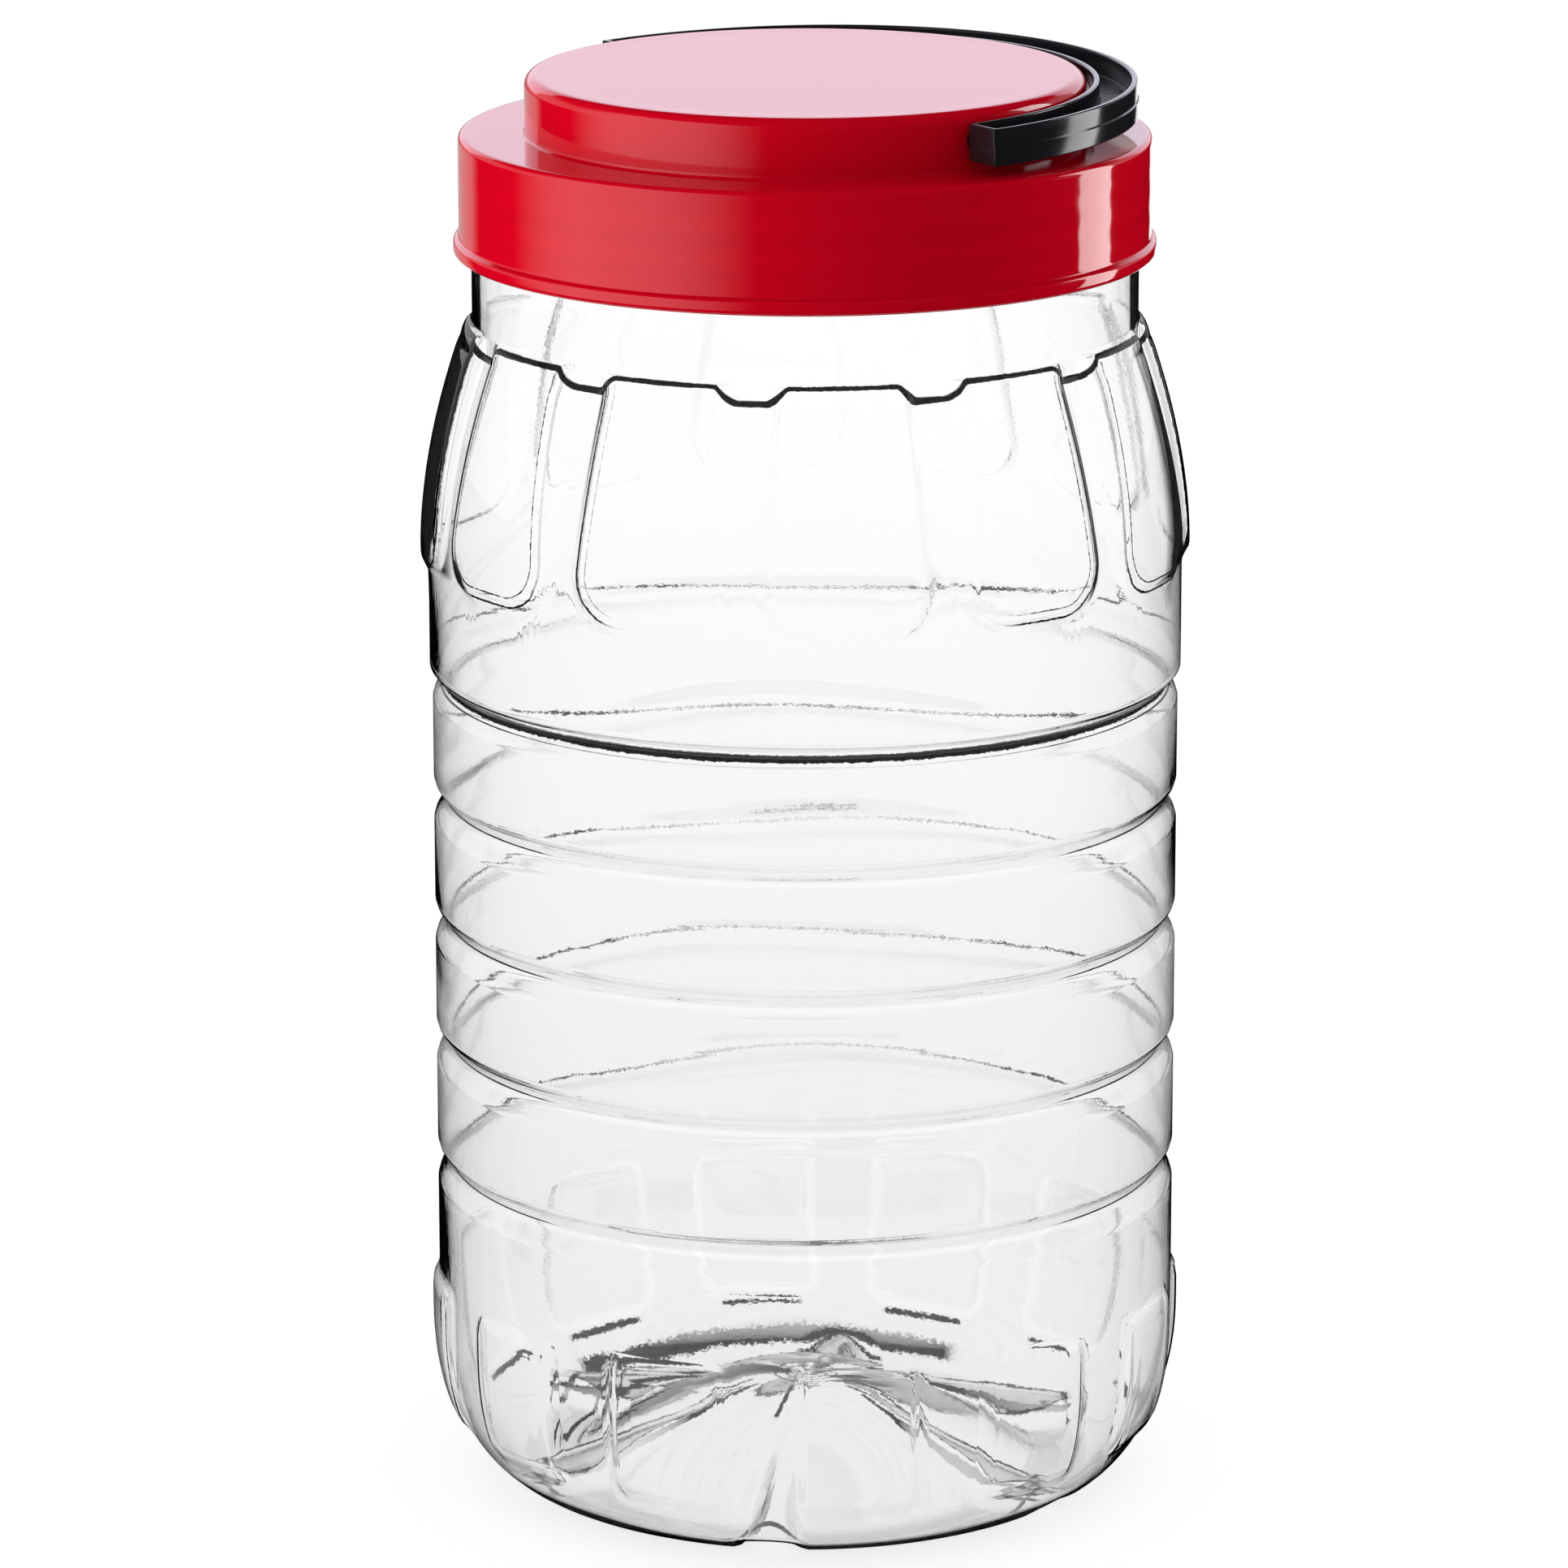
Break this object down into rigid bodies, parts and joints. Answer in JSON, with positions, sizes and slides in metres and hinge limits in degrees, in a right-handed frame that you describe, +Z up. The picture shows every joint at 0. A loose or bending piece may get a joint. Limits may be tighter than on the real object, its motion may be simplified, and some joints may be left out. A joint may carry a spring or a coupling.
{
  "type": "plastic storage jar",
  "caption": "Tall clear plastic storage jar with ring grooves, raised shoulder panels, a red screw cap and a black swing handle folded on it.",
  "frame": {"origin": "centre of the base, on the surface that the jar stands on", "axes": "+Z up along the jar's axis, X along the handle's pins, +Y towards the side where the handle is folded"},
  "size_m": [0.1378, 0.1378, 0.2585],
  "materials": {
    "clear_plastic": "clear and glossy",
    "red_plastic": "glossy moulded",
    "black_plastic": "smooth moulded",
    "white_foam": "matt foam"
  },
  "bodies": {
    "jar": {"jar_body": "clear_plastic"},
    "liner": {"sealing_liner": "white_foam"},
    "cap": {"screw_cap": "red_plastic"},
    "handle": {"carry_handle": "black_plastic"}
  },
  "joints": [
    {"name": "cap_rise", "type": "slide", "parent": "jar", "child": "liner", "axis": [0, 0, 1], "range_m": [0, 0.024]},
    {"name": "cap_turn", "type": "hinge", "parent": "liner", "child": "cap", "pos_m": [0, 0, 0.2466], "axis": [0, 0, 1], "range_deg": [0, 1440]},
    {"name": "handle_swing", "type": "hinge", "parent": "cap", "child": "handle", "pos_m": [0, 0, 0.25345], "axis": [1, 0, 0], "range_deg": [0, 180]}
  ],
  "couplings": [
    {"joint": "cap_rise", "follows": "cap_turn", "m_per_rad": 0.00095492}
  ]
}
